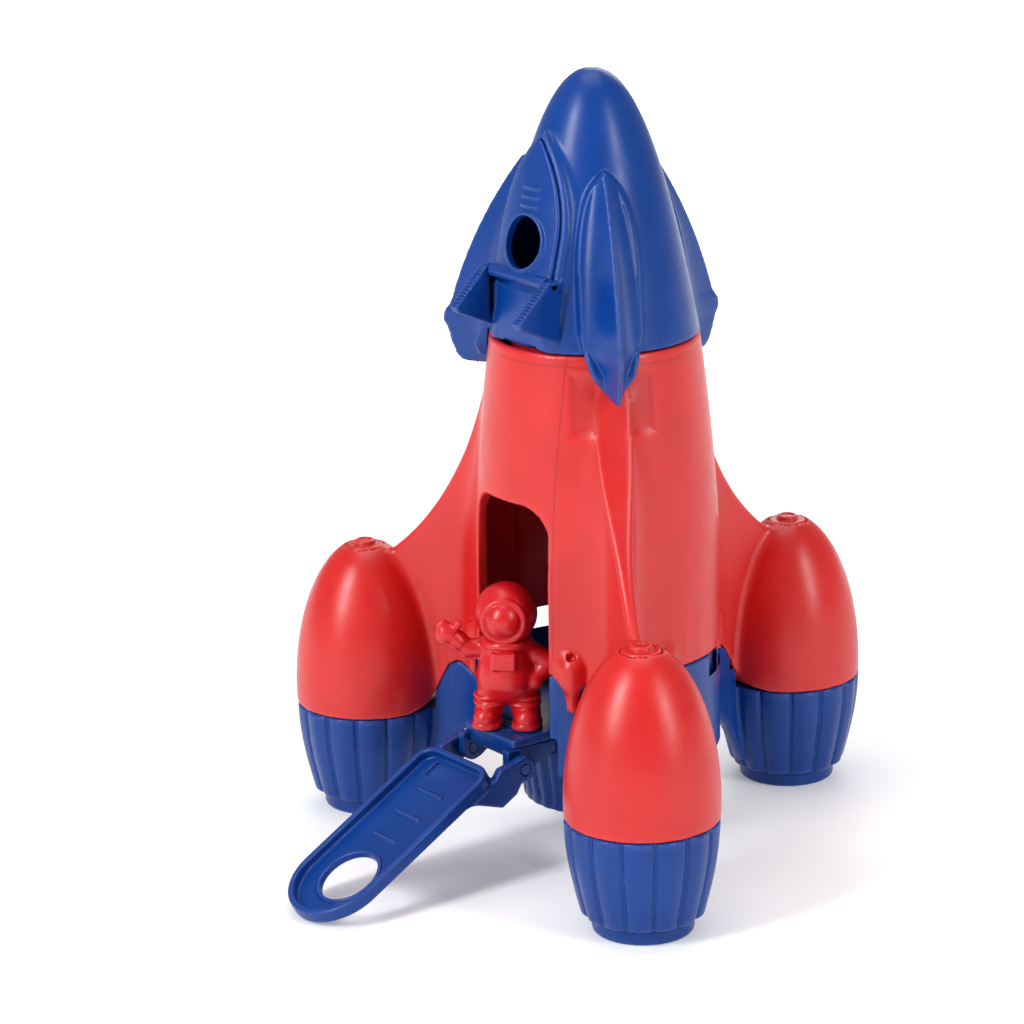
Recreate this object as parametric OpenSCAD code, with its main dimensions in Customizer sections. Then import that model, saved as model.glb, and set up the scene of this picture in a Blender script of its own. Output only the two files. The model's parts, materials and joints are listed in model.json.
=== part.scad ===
// Toy space rocket: a hull on three booster pods, a fold-down boarding ramp,
// a lift-off nose capsule with three legs and a hatch, and one crew figure.
// Millimetres. +Z is up, the floor is z = 0, the rocket's axis is x = y = 0
// and the doorway faces -Y. Boosters stand at 60, 180 and 300 degrees from it.

/* [Boosters] */
// Distance from the rocket's axis to each booster's axis
booster_r = 86.9; // [84:0.1:92]
// Height of the seam between the red pod and the blue nozzle cup
seam_z = 38.8; // [36:0.1:42]
// Outer radius at that seam
seam_r = 25.4; // [24:0.1:27]
// Height of the pod's tip, cap included
pod_tip_z = 97; // [94:0.5:102]
// Outer radius at the bottom of the nozzle cup
cup_low_r = 19.9; // [18.5:0.1:21]
// Outer radius of the foot ring under the cup
foot_r = 16.8; // [15:0.1:18]
// Height of the foot ring
foot_h = 5.6; // [4:0.1:7]
// Radius of the round cap in the pod's tip
cap_r = 6.7; // [5.5:0.1:8]

/* [Hull] */
// Outer radius of the straight lower hull
hull_r = 41.7; // [41:0.1:42]
// Outer radius at the hull's top
hull_top_r = 35.2; // [35:0.1:36]
// Height of the hull's lower edge
hull_low_z = 70; // [66:0.5:74]
// Height of the hull's upper edge
hull_top_z = 178.5; // [174:0.5:182]
// Height at which the hull begins to narrow
hull_bend_z = 100; // [90:1:110]
// Wall thickness of the mouldings
wall = 2.4; // [2:0.1:2.8]

/* [Fins] */
// Half thickness of a fin where it meets the hull
fin_root_t = 12; // [9:0.1:13]
// Half thickness of a fin's outer edge
fin_edge_t = 2.2; // [1.6:0.1:3.5]
// Height at which the fin's upper edge leaves the hull
fin_top_z = 150; // [140:1:160]

/* [Doorway and deck] */
// Half width of the doorway
door_half_w = 18.8; // [18.6:0.1:20]
// Height of the doorway's top
door_top_z = 127.2; // [127:0.1:132]
// Radius of the doorway's upper corners
door_corner_r = 11; // [8:0.5:14]
// Depth of the flange that lines the doorway
flange_depth = 5; // [4:0.5:6]
// Height of the deck that the crew stands on
deck_z = 47.6; // [47:0.1:48]
// How far the deck's tongue reaches from the axis
tongue_out = 48; // [47:0.1:50]
// Half width of the deck's tongue
tongue_half_w = 13.8; // [12:0.1:13.9]

/* [Boarding ramp] */
// Distance from the rocket's axis to the ramp's hinge pins
pin_out = 46.2; // [45.5:0.1:46.5]
// Height of the hinge pins
pin_z = 38.4; // [38:0.1:38.5]
// Radius of the hinge pins
pin_r = 1.8; // [1.5:0.1:2.2]
// Running clearance on the pins' radius
pin_clear = 0.06; // [0.04:0.01:0.09]
// Half width of the ramp's leaf
leaf_half_w = 18.1; // [17:0.1:18.2]
// Distance from the pins to the leaf's near end
leaf_start = 10.6; // [10.4:0.1:12]
// Distance from the pins to the leaf's rounded far end
leaf_end = 87.9; // [84:0.1:87.9]
// Distance of the leaf's upper face from the pins
leaf_top = 10; // [9.5:0.1:10]
// Height of the leaf's raised rim, floor plate included
leaf_depth = 5; // [4:0.1:6]
// Thickness of the leaf's floor plate
leaf_plate = 2; // [1.6:0.1:2.6]
// Radius of the finger hole
finger_r = 10.2; // [8:0.1:11]
// Distance from the pins to the finger hole's centre
finger_at = 67.5; // [66:0.5:70]

/* [Nose capsule] */
// Height of the nose tip above the floor
top_z = 267.5; // [260:0.5:276]
// Height of the nose's lower rim
rim_z = 179; // [178.9:0.1:180]
// Sharpness of the nose's curve
nose_power = 0.45; // [0.42:0.01:0.48]
// Half width of the hatch opening
hatch_half_w = 14.8; // [14.5:0.1:15]
// Height of the hatch's hinge pin
hatch_z = 202; // [201:0.5:203]
// Distance from the axis to the hatch's hinge pin
hatch_out = 31.5; // [31:0.1:32]
// Angle by which the closed hatch leans back
hatch_lean = 13.5; // [12:0.5:15]
// Length of the hatch from its pin to its point
hatch_len = 46; // [42:0.5:47]
// Radius of the round window
window_r = 8.7; // [7:0.1:9]
// Height at which the capsule's floor lies
capsule_floor_z = 187; // [187:0.5:190]

/* [Crew] */
// Height of the crew figure
crew_h = 50; // [46:0.5:52]
// Distance from the rocket's axis to the figure's middle
crew_out = 38.5; // [37:0.5:40]
// Direction the figure faces, turned from the doorway
crew_turn = 45; // [40:1:55]

/* [Hidden] */
$fn = 72;
FEW = 32;
STEPS = 12;
RED = [0.89, 0.20, 0.18];
BLUE = [0.10, 0.29, 0.62];
BOOSTERS = [60, 300, 180];

// Boosters
pod_half_h = 53.3;
pod_belly_z = 44;
pod_belly_r = 25.6;
cap_top_z = pod_tip_z - 1.4;
cap_boss_r = 3.7;
cap_seat_h = 3;
foot_recess_r = foot_r - 3;
foot_recess_h = 1.5;

// Fins and struts
fin_tip = [booster_r - 8.9, 93.6];
fin_knee = [53, 111.5];
fin_seam = [[43, 53], [47, 56], [51, 57.4], [54.5, 55.5], [57.5, 50.5], [60, 45], [63, 40], [66, seam_z]];
fin_root = hull_r - 5;
fin_flare = [[41.5, 9.6], [45, 6.9], [50, 4.6], [57, 3.1], [68, 2.5]];
fin_low_z = 98;
fin_high_t = 3.6;
strut_arch = [[64, 10], [60.5, 17], [57, 24], [52, 30], [46, 34], [38, 36]];
boss_turn = 21;
boss_r = 2.6;
boss_h = 11;

// Base
bell_low_z = 15;
bell_low_r = 26;
bell_top_z = 38;
bell_top_r = 30;
bell_recess = 3;
deck_t = 3;
deck_low_z = deck_z - deck_t;
base_in_r = hull_r - wall;
hull_split_z = 131;
flange_in = sqrt(hull_r * hull_r - door_half_w * door_half_w) - flange_depth;
notch_half_w = 4.7;
skirt_half_w = 10.5;
skirt_t = 2;
skirt_h = 3.6;
notch_in = 31;

// Neck
neck_z = 172;
neck_t = 2.4;
spigot_r = 28.8;
spigot_top_z = 186;

// Ramp
floor_gap = 0.3;
leaf_low = leaf_top - leaf_depth;
ramp_tilt = asin((pin_z - floor_gap) / norm([leaf_end, leaf_low])) + atan2(leaf_low, leaf_end);
arm_t = 3.4;
arm_top = leaf_low + 2;
arm_low = -5.2;
web_start = 7.2;
finger_x = 2;
arm_out_x = leaf_half_w - 0.2;
arm_in_x = arm_out_x - arm_t;
bracket_t = 3.2;
bracket_out_x = tongue_half_w;
boss_pin_r = 4.4;
leaf_rim = 2.4;
near_corner_r = 7;
rib_at = [27, 38, 49];

// Crew
crew_x = -1.5;
crew_gap = 0.3;
crew_head_r = 10.6;
crew_neck_r = 8.4;
crew_hip_r = 10.4;
crew_hip_z = 15;
crew_leg_x = 6.2;
crew_leg_r = 5.8;
crew_boot_r = 6.6;
crew_boot_h = 6;
crew_arm_r = 3.6;
crew_joint_r = 4.4;

// Capsule
capsule_wall = 2.4;
frame_w = 2.4;
hatch_gap = 0.5;
hatch_t = 2.2;
hatch_side_h = 13;
cheek_t = 3.8;
cheek_top = [hatch_out + 2.6, hatch_z + 1.4];
cheek_low = [46.5, 191.5];
cheek_back = hatch_out - 2.2;
cheek_foot_z = 183.5;
cheek_groove = 0.6;
frame_in = 6;
frame_proud = 0.8;
cheek_in_x = hatch_half_w;
hatch_pin_r = 1.2;
knuckle_r = 2;
panel_low = knuckle_r + 0.2;
apron_out = 32;
apron_top_z = hatch_z - 3.9;
leg_clear = 0.6;
leg_root_t = 10.4;
leg_root = 36;
leg_edge_t = 2.6;
leg_reach = 56;
leg_foot = [[54.5, 181.5], [55, 178.5], [53.5, 176], [52, 171], [50.6, 167.5], [48.5, 165], [45, 164.4],
            [42, 165.6]];
window_at = 11.5;
window_rim_w = 0.9;
window_rim_h = 1.1;

// Radius of the hull's outside at height z
function hull_at(z) = z < hull_bend_z ? hull_r
    : hull_r - (hull_r - hull_top_r) * pow((z - hull_bend_z) / (hull_top_z - hull_bend_z), 1.6);

// Radius of the pod's outside at height z
function pod_at(z) = pod_belly_r * sqrt(max(0, 1 - pow((z - pod_belly_z) / pod_half_h, 2)));

// Radius of the nozzle cup's outside at height z
function cup_at(z) = cup_low_r + (seam_r - cup_low_r) * sin(90 * (z - foot_h) / (seam_z - foot_h));

// Point at fraction t of the curve from a through the pull of b to c
function bend(a, b, c, t) = a * pow(1 - t, 2) + b * 2 * t * (1 - t) + c * t * t;
function curve(a, b, c, n = STEPS) = [for (i = [0:n]) bend(a, b, c, i / n)];

// Outer and inner outlines of the nose, r against z
function nose_line(inset) = [for (i = [0:2 * STEPS])
    let (t = i / (2 * STEPS))
    [(hull_top_r - inset) * pow(t, 2 * nose_power), top_z - inset - (top_z - inset - rim_z) * t * t]];

// Turns an outline of distance-from-axis against height into a plate of
// thickness t, standing in the plane that holds the axis and -Y
module side_plate(t) {
    rotate([0, 0, -90]) rotate([90, 0, 0]) linear_extrude(t, center = true) children();
}

// Turns an outline of x against z into a block reaching from the axis out to -Y
module front_block(out_to) {
    rotate([90, 0, 0]) linear_extrude(out_to) children();
}

// Turns an outline of x against z into a block d deep on both sides of its plane
module through_block(d) {
    rotate([90, 0, 0]) linear_extrude(2 * d, center = true) children();
}

module at_booster(turn) {
    rotate([0, 0, turn]) translate([0, -booster_r, 0]) children();
}

// Solid of the hull's outside, grown by g, from z0 up to the hull's top
module hull_solid(z0, g = 0) {
    low = max(z0, hull_bend_z);
    rise = [for (i = [0:STEPS]) low + (hull_top_z - low) * i / STEPS];
    rotate_extrude()
        polygon(concat([[0, z0], [hull_at(z0) + g, z0]], [for (z = rise) if (z > z0) [hull_at(z) + g, z]],
            [[0, hull_top_z]]));
}

module nose_solid(inset = 0) {
    rotate_extrude() polygon(concat([[0, rim_z - inset]], [[hull_top_r - inset, rim_z - inset]],
        [for (i = [2 * STEPS:-1:0]) nose_line(inset)[i]]));
}

module pod_solid() {
    high = pod_belly_z + pod_half_h;
    heights = [for (i = [0:2 * STEPS]) seam_z + (high - seam_z) * sin(90 * i / (2 * STEPS))];
    rotate_extrude() polygon(concat([[0, seam_z]], [for (z = heights) [pod_at(z), z]]));
}

module cup_solid() {
    heights = [for (i = [0:STEPS]) foot_h + (seam_z - foot_h) * i / STEPS];
    rotate_extrude() polygon(concat([[0, foot_h]], [for (z = heights) [cup_at(z), z]], [[0, seam_z]]));
}

module door_outline(grow = 0) {
    w = door_half_w + grow;
    r = door_corner_r + grow;
    translate([-w, 0]) square([2 * w, door_top_z - door_corner_r]);
    translate([-w + r, 0]) square([2 * (w - r), door_top_z + grow]);
    for (s = [-1, 1]) translate([s * (w - r), door_top_z - door_corner_r]) circle(r);
}

// The flange round the doorway, between two heights
module door_flange(z0, z1) {
    intersection() {
        hull_solid(z0);
        translate([-hull_r, -hull_r, z0]) cube([2 * hull_r, hull_r - flange_in, z1 - z0]);
        difference() {
            front_block(hull_r + 1) door_outline(wall);
            front_block(hull_r + 2) door_outline();
        }
    }
}

// ---------------------------------------------------------------- red body

// The part of the hull with the doorway, up to the level of hull_split_z
module hull_lower() {
    color(RED) {
        difference() {
            hull_solid(hull_low_z);
            hull_bore();
            front_block(hull_r + 2) door_outline(wall);
            translate([0, 0, hull_split_z]) cylinder(h = hull_top_z, r = hull_r + 1);
        }
        door_flange(hull_low_z, hull_top_z);
    }
}

// The rest of the hull, a plain tapering tube
module hull_upper() {
    color(RED) difference() {
        hull_solid(hull_split_z);
        hull_bore();
    }
}

module hull_bore() {
    rise = [for (i = [0:STEPS]) hull_bend_z + (hull_top_z - hull_bend_z) * i / STEPS];
    rotate_extrude() polygon(concat([[0, hull_low_z - 1], [hull_r - wall, hull_low_z - 1]],
        [for (z = rise) [hull_at(z) - wall, z]], [[hull_top_r - wall, hull_top_z + 1], [0, hull_top_z + 1]]));
}

module neck_plate() {
    color(RED) {
        intersection() {
            hull_bore();
            translate([0, 0, neck_z]) cylinder(h = neck_t, r = hull_r);
        }
        difference() {
            translate([0, 0, neck_z + neck_t]) cylinder(h = spigot_top_z - neck_z - neck_t, r = spigot_r);
            translate([0, 0, neck_z + neck_t - 1]) cylinder(h = spigot_top_z, r = spigot_r - wall);
        }
    }
}

// Plan of a fin and of the strut below it: thick at the hull, thin at the pod
module fin_plan() {
    side = concat([[fin_root, fin_root_t]], fin_flare, [[booster_r, fin_edge_t]]);
    polygon(concat([for (p = side) [p[1], -p[0]]],
        [for (i = [len(side) - 1:-1:0]) [-side[i][1], -side[i][0]]]));
}

// Front view of a fin: full thickness low down, thin where its top meets the hull
module fin_front() {
    polygon([[-fin_root_t, seam_z], [fin_root_t, seam_z], [fin_root_t, fin_low_z],
        [fin_high_t, fin_top_z], [-fin_high_t, fin_top_z], [-fin_root_t, fin_low_z]]);
}

module fin(turn) {
    top = curve(fin_tip, fin_knee, [fin_root, fin_top_z + 8]);
    color(RED) rotate([0, 0, turn]) difference() {
        intersection() {
            translate([0, 0, seam_z]) linear_extrude(fin_top_z) fin_plan();
            side_plate(4 * fin_root_t) polygon(concat([[fin_root, 51]], fin_seam,
                [[booster_r - 1, seam_z], [booster_r - 1, fin_tip[1]]], top));
            front_block(booster_r) fin_front();
        }
        hull_solid(0);
        translate([0, -booster_r, 0]) pod_solid();
    }
}

module pod(turn) {
    color(RED) at_booster(turn) difference() {
        pod_solid();
        translate([0, 0, seam_z - 0.01]) scale(0.9) translate([0, 0, -seam_z]) pod_solid();
        translate([0, 0, cap_top_z - cap_seat_h]) cylinder(h = 20, r = cap_r);
    }
}

module pod_cap(turn) {
    color(RED) at_booster(turn) {
        translate([0, 0, cap_top_z - cap_seat_h]) cylinder(h = cap_seat_h - 0.7, r = cap_r);
        translate([0, 0, cap_top_z - 0.7]) cylinder(h = 0.7, r1 = cap_r, r2 = cap_r - 0.7);
        translate([0, 0, cap_top_z])
            cylinder(h = pod_tip_z - cap_top_z, r1 = cap_boss_r, r2 = cap_boss_r - 0.5);
    }
}

// Half-round bosses beside each fin, which take the snaps of the blue base
module snap_bosses() {
    color(RED) for (turn = BOOSTERS, s = [-1, 1]) rotate([0, 0, turn + s * boss_turn])
        difference() {
            translate([0, -hull_r - 0.6, hull_low_z - 6]) {
                cylinder(h = boss_h, r = boss_r, $fn = FEW);
                translate([0, 0, -boss_r]) cylinder(h = boss_r, r1 = 1.2, r2 = boss_r, $fn = FEW);
            }
            hull_solid(0);
            rotate([0, 0, -s * boss_turn]) linear_extrude(hull_top_z) fin_plan();
        }
}

// ---------------------------------------------------------------- blue base

module cup(turn) {
    color(BLUE) at_booster(turn) difference() {
        union() {
            cup_solid();
            cylinder(h = foot_h, r = foot_r);
        }
        translate([0, 0, foot_h + wall]) cylinder(h = seam_z, r1 = cup_low_r - wall, r2 = seam_r - wall + 2);
        translate([0, 0, -1]) cylinder(h = foot_recess_h + 1, r = foot_recess_r);
    }
}

module strut(turn) {
    color(BLUE) rotate([0, 0, turn]) difference() {
        intersection() {
            linear_extrude(hull_low_z) fin_plan();
            side_plate(4 * fin_root_t) polygon(concat([[fin_root, 51]], fin_seam,
                [[booster_r - 10, seam_z], [booster_r - 10, 10]], strut_arch));
        }
        cylinder(h = hull_top_z, r = hull_r);
        translate([0, -booster_r, 0]) pod_solid();
        translate([0, -booster_r, 0]) cup_solid();
        translate([0, -booster_r, 0]) cylinder(h = foot_h + 1, r = cup_low_r);
    }
}

module base_ring() {
    color(BLUE) {
        difference() {
            translate([0, 0, bell_top_z - 4]) cylinder(h = hull_low_z - bell_top_z + 4, r = hull_r);
            translate([0, 0, bell_top_z]) cylinder(h = hull_low_z, r = base_in_r);
            translate([0, 0, bell_top_z - 5]) cylinder(h = 10, r = bell_top_r);
            translate([-door_half_w - wall, -hull_r - 1, 0])
                cube([2 * (door_half_w + wall), hull_r, hull_top_z]);
        }
        door_flange(deck_z, hull_low_z);
    }
}

// The ribbed engine nozzle under the middle of the base
module engine_bell() {
    color(BLUE) difference() {
        union() {
            translate([0, 0, bell_low_z])
                cylinder(h = bell_top_z - bell_low_z, r1 = bell_low_r, r2 = bell_top_r);
            translate([0, 0, bell_top_z]) cylinder(h = deck_low_z - bell_top_z, r = notch_in - 1);
        }
        translate([0, 0, bell_low_z - 1]) cylinder(h = bell_recess + 1, r = bell_low_r - wall);
        translate([0, 0, bell_low_z + bell_recess + wall]) cylinder(h = deck_z, r = bell_low_r - wall);
    }
}

module deck() {
    color(BLUE) difference() {
        union() {
            translate([0, 0, deck_low_z]) cylinder(h = deck_t, r = base_in_r);
            translate([-tongue_half_w, -tongue_out, deck_low_z])
                cube([2 * tongue_half_w, tongue_out, deck_t]);
            translate([-skirt_half_w, -tongue_out, deck_low_z - skirt_h])
                cube([2 * skirt_half_w, skirt_t, skirt_h + 1]);
        }
        for (s = [-1, 1])
            translate([s * (tongue_half_w + notch_half_w) - notch_half_w, -hull_r, deck_low_z - 1])
                cube([2 * notch_half_w, hull_r - notch_in, deck_t + 2]);
    }
}

// Two cheeks under the tongue, bored for the ramp's pins
module ramp_brackets() {
    color(BLUE) for (s = [-1, 1]) translate([s * (bracket_out_x - bracket_t / 2), 0, 0]) difference() {
        side_plate(bracket_t) {
            translate([pin_out - boss_pin_r, pin_z]) square([2 * boss_pin_r, deck_low_z - pin_z]);
            translate([pin_out, pin_z]) circle(boss_pin_r);
            polygon([[notch_in - 1, deck_low_z], [notch_in - 1, pin_z + 2],
                [pin_out - 3, pin_z - 3], [pin_out, deck_low_z]]);
        }
        side_plate(2 * bracket_t) translate([pin_out, pin_z]) circle(pin_r);
    }
}

module ramp_pins() {
    inner_x = bracket_out_x - bracket_t;
    color(BLUE) for (s = [-1, 1]) translate([s * (inner_x + arm_out_x) / 2, -pin_out, pin_z])
        rotate([0, 90, 0]) cylinder(h = arm_out_x - inner_x, r = pin_r, center = true);
}

// ---------------------------------------------------------------- ramp

// Places what is drawn along x (distance from the pins) and y (height of the
// leaf's face above the pins) at the ramp's resting slope
module on_ramp() {
    translate([0, -pin_out, pin_z]) rotate([ramp_tilt, 0, 0]) children();
}

module leaf_outline(inset) {
    w = leaf_half_w - inset;
    far = leaf_end - leaf_half_w;
    near = leaf_start + near_corner_r;
    translate([0, far]) circle(w);
    translate([-w, near]) square([2 * w, far - near]);
    translate([-leaf_half_w + near_corner_r, leaf_start + inset])
        square([2 * (leaf_half_w - near_corner_r), near_corner_r]);
    for (s = [-1, 1]) translate([s * (leaf_half_w - near_corner_r), near]) circle(near_corner_r - inset);
}

module leaf_layer(h0, h1, inset) {
    translate([0, 0, h0]) mirror([0, 1, 0]) linear_extrude(h1 - h0) leaf_outline(inset);
}

module ramp_leaf() {
    color(BLUE) on_ramp() difference() {
        union() {
            difference() {
                leaf_layer(leaf_low, leaf_top, 0);
                leaf_layer(leaf_low + leaf_plate, leaf_top + 1, leaf_rim);
            }
            for (at = rib_at) translate([-7, -at - 0.6, leaf_low + leaf_plate - 0.01]) cube([14, 1.2, 0.6]);
            translate([finger_x, -finger_at, leaf_low + leaf_plate - 0.01]) cylinder(h = 0.9, r = finger_r + 1.8);
        }
        translate([finger_x, -finger_at, 0]) cylinder(h = 3 * leaf_top, r = finger_r);
    }
}

// Two goosenecks that carry the leaf on the pins
module ramp_arms() {
    color(BLUE) on_ramp() for (s = [-1, 1]) translate([s * (arm_in_x + arm_out_x) / 2, 0, 0]) difference() {
        side_plate(arm_t) {
            circle(boss_pin_r);
            polygon([[-2.2, 3.8], [3.2, -3], [7, arm_low], [14, arm_low], [21, leaf_low - 2.6], [25, leaf_low],
                     [leaf_start + 0.6, leaf_low], [8, arm_top], [3, arm_top - 1.5]]);
        }
        side_plate(2 * arm_t) circle(pin_r + pin_clear);
    }
    color(BLUE) on_ramp() side_plate(2 * arm_in_x + 0.4)
        polygon([[web_start, arm_low], [web_start, arm_low + 1.6], [13, arm_low + 1.6], [17.5, leaf_low],
                 [19.5, leaf_low], [14, arm_low]]);
}

// ---------------------------------------------------------------- crew

// One limb: a joint ball with a straight length running from it
module limb(at, turn, length) {
    translate(at) sphere(crew_joint_r);
    translate(at) rotate(turn) cylinder(h = length, r = crew_arm_r);
}

// A crew member with one hand raised and the other on the hip
module crew_figure() {
    head_z = crew_h - crew_head_r;
    color(RED) translate([crew_x, -crew_out, deck_z + crew_gap]) rotate([0, 0, crew_turn]) {
        translate([0, 0, head_z]) sphere(crew_head_r);
        translate([0, 0, crew_hip_z]) cylinder(h = head_z - crew_hip_z, r1 = crew_hip_r, r2 = crew_neck_r);
        for (s = [-1, 1]) {
            translate([s * crew_leg_x, 0, crew_boot_h - 1]) cylinder(h = crew_hip_z, r = crew_leg_r);
            translate([s * (crew_leg_x + 0.6), -2.4, 0]) cylinder(h = crew_boot_h, r = crew_boot_r);
        }
        limb([-13.5, -0.8, 26.4], [10, -46, 0], 7);
        limb([-13.5, -0.8, 26.4], [0, 80, 0], 8);
        translate([-19.4, -2.2, 32.4]) sphere(crew_joint_r);
        limb([15.6, 0, 22.5], [0, -130, 0], 8);
        limb([15.6, 0, 22.5], [0, -60, 0], 9);
    }
}

// ---------------------------------------------------------------- capsule

// Frame of reference of the closed hatch: its pin lies on x, z runs up it
module on_hatch() {
    translate([0, -hatch_out, hatch_z]) rotate([-hatch_lean, 0, 0]) children();
}

// Pointed arch, x against z, grown by grow, from height z0
module arch(grow, z0) {
    w = hatch_half_w + grow;
    rise = hatch_len + grow - hatch_side_h;
    r = (w * w + rise * rise) / (2 * w);
    translate([-w, z0]) square([2 * w, hatch_side_h - z0]);
    intersection() {
        translate([r - w, hatch_side_h]) circle(r, $fn = 96);
        translate([w - r, hatch_side_h]) circle(r, $fn = 96);
        translate([-w, hatch_side_h - 1]) square([2 * w, rise + 2]);
    }
}

module nose_shell() {
    color(BLUE) difference() {
        nose_solid();
        nose_solid(capsule_wall);
        on_hatch() through_block(30) arch(frame_w, 0);
        translate([-hatch_half_w - frame_w, -hull_r, 0])
            cube([2 * (hatch_half_w + frame_w), hull_r, hatch_z + 1]);
    }
}

// Plate of one cheek's side view, t thick
module cheek_plate(t) {
    side_plate(t) polygon([[cheek_back, cheek_top[1]], cheek_top, cheek_low,
        [cheek_low[0] - 1, cheek_low[1] - 2], [apron_out, cheek_foot_z], [cheek_back, cheek_foot_z]]);
}

// Raised frame round the hatch and the flat apron under it
module hatch_frame() {
    w = hatch_half_w + frame_w;
    color(BLUE) difference() {
        union() {
            difference() {
                on_hatch() translate([0, frame_in, 0]) rotate([90, 0, 0])
                    linear_extrude(frame_in + frame_proud) arch(frame_w, 0);
                on_hatch() through_block(30) arch(0, -5);
            }
            translate([-w, -apron_out, rim_z]) cube([2 * w, capsule_wall, apron_top_z - rim_z]);
            for (s = [-1, 1]) translate([s * (w - frame_w / 2) - frame_w / 2, -apron_out + capsule_wall, rim_z])
                cube([frame_w, 4, apron_top_z - rim_z]);
        }
        for (s = [-1, 1]) translate([s * (cheek_in_x + cheek_t / 2), 0, 0]) cheek_plate(cheek_t);
    }
}

module leg(turn) {
    outer = curve([20.4, 242.5], [42, 217.5], [52, 185]);
    half = concat([[0, 242.5], [1.8, 237]], curve([4, 233], [9.5, 225], [10.3, 209]),
        curve([11, 200], [11.6, 184], [7, 172.5]), [[4.2, 168.6], [0, 164.4]]);
    color(BLUE) rotate([0, 0, turn]) difference() {
        intersection() {
            side_plate(40) polygon(concat(outer, leg_foot, [[outer[0][0], 166]]));
            front_block(60) polygon(concat(half, [for (i = [len(half) - 2:-1:1]) [-half[i][0], half[i][1]]]));
            linear_extrude(top_z) polygon([[-leg_root_t, 0], [leg_root_t, 0], [leg_root_t, -leg_root],
                [leg_edge_t, -leg_reach], [-leg_edge_t, -leg_reach], [-leg_root_t, -leg_root]]);
        }
        hull_solid(hull_bend_z, leg_clear);
        nose_solid();
        translate([0, 0, hull_top_z - 0.01])
            cylinder(h = rim_z - hull_top_z + 0.02, r = hull_top_r + leg_clear);
    }
}

module capsule_floor() {
    color(BLUE) difference() {
        intersection() {
            nose_solid(capsule_wall);
            translate([0, 0, capsule_floor_z]) cylinder(h = capsule_wall, r = hull_r);
        }
        translate([-hatch_half_w - frame_w, -hull_r, 0])
            cube([2 * (hatch_half_w + frame_w), hull_r - apron_out + capsule_wall + 4, hatch_z]);
    }
}

// Ribbed cheeks beside the apron, which carry the hatch's pin
module hatch_cheeks() {
    color(BLUE) for (s = [-1, 1]) translate([s * (cheek_in_x + cheek_t / 2), 0, 0]) difference() {
        cheek_plate(cheek_t);
        side_plate(2 * cheek_t) translate([hatch_out, hatch_z]) circle(hatch_pin_r);
        for (i = [1:9]) let (at = cheek_top + (cheek_low - cheek_top) * i / 10)
            translate([0, -at[0], at[1]]) cube([2 * cheek_t, cheek_groove, cheek_groove], center = true);
    }
}

module hatch_pin() {
    half = cheek_in_x + cheek_t;
    color(BLUE) translate([0, -hatch_out, hatch_z]) rotate([0, 90, 0])
        cylinder(h = 2 * half, r = hatch_pin_r, center = true);
}

module hatch_panel() {
    color(BLUE) on_hatch() difference() {
        translate([0, hatch_t / 2, 0]) rotate([90, 0, 0])
            linear_extrude(hatch_t) arch(-hatch_gap, panel_low);
        translate([0, 0, window_at]) rotate([90, 0, 0])
            cylinder(h = 3 * hatch_t, r = window_r, center = true);
    }
}

module hatch_knuckle() {
    half = hatch_half_w - hatch_gap;
    color(BLUE) on_hatch() difference() {
        union() {
            rotate([0, 90, 0]) cylinder(h = 2 * half, r = knuckle_r, center = true);
            translate([-half, -hatch_t / 2, 0]) cube([2 * half, hatch_t, panel_low]);
        }
        rotate([0, 90, 0]) cylinder(h = 3 * half, r = hatch_pin_r + pin_clear, center = true);
    }
}

module window_rim() {
    color(BLUE) on_hatch() translate([0, -hatch_t / 2, window_at]) rotate([90, 0, 0]) difference() {
        cylinder(h = window_rim_h, r = window_r + window_rim_w);
        translate([0, 0, -1]) cylinder(h = window_rim_h + 2, r = window_r);
    }
}

hull_lower();
hull_upper();
neck_plate();
fin(BOOSTERS[0]);  // fin_right
fin(BOOSTERS[1]);  // fin_left
fin(BOOSTERS[2]);  // fin_back
pod(BOOSTERS[0]);  // pod_right
pod(BOOSTERS[1]);  // pod_left
pod(BOOSTERS[2]);  // pod_back
pod_cap(BOOSTERS[0]);  // pod_cap_right
pod_cap(BOOSTERS[1]);  // pod_cap_left
pod_cap(BOOSTERS[2]);  // pod_cap_back
cup(BOOSTERS[0]);  // cup_right
cup(BOOSTERS[1]);  // cup_left
cup(BOOSTERS[2]);  // cup_back
strut(BOOSTERS[0]);  // strut_right
strut(BOOSTERS[1]);  // strut_left
strut(BOOSTERS[2]);  // strut_back
snap_bosses();
base_ring();
engine_bell();
deck();
ramp_brackets();
ramp_pins();
ramp_leaf();
ramp_arms();
crew_figure();
nose_shell();
leg(BOOSTERS[0]);  // leg_right
leg(BOOSTERS[1]);  // leg_left
leg(BOOSTERS[2]);  // leg_back
capsule_floor();
hatch_frame();
hatch_cheeks();
hatch_pin();
hatch_panel();
hatch_knuckle();
window_rim();
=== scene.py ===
"""Looks of the toy space rocket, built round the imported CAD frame.

Each moulding is a signed distance field: a function that gives the distance from any point to the piece's
surface, negative inside. Fields join with rounded blends, as moulded plastic does, and surface_of() turns a
field into a mesh. Shapes are worked out in millimetres in the frame's own axes, and scaled to metres at the
end.
"""

import json
import math

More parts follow.
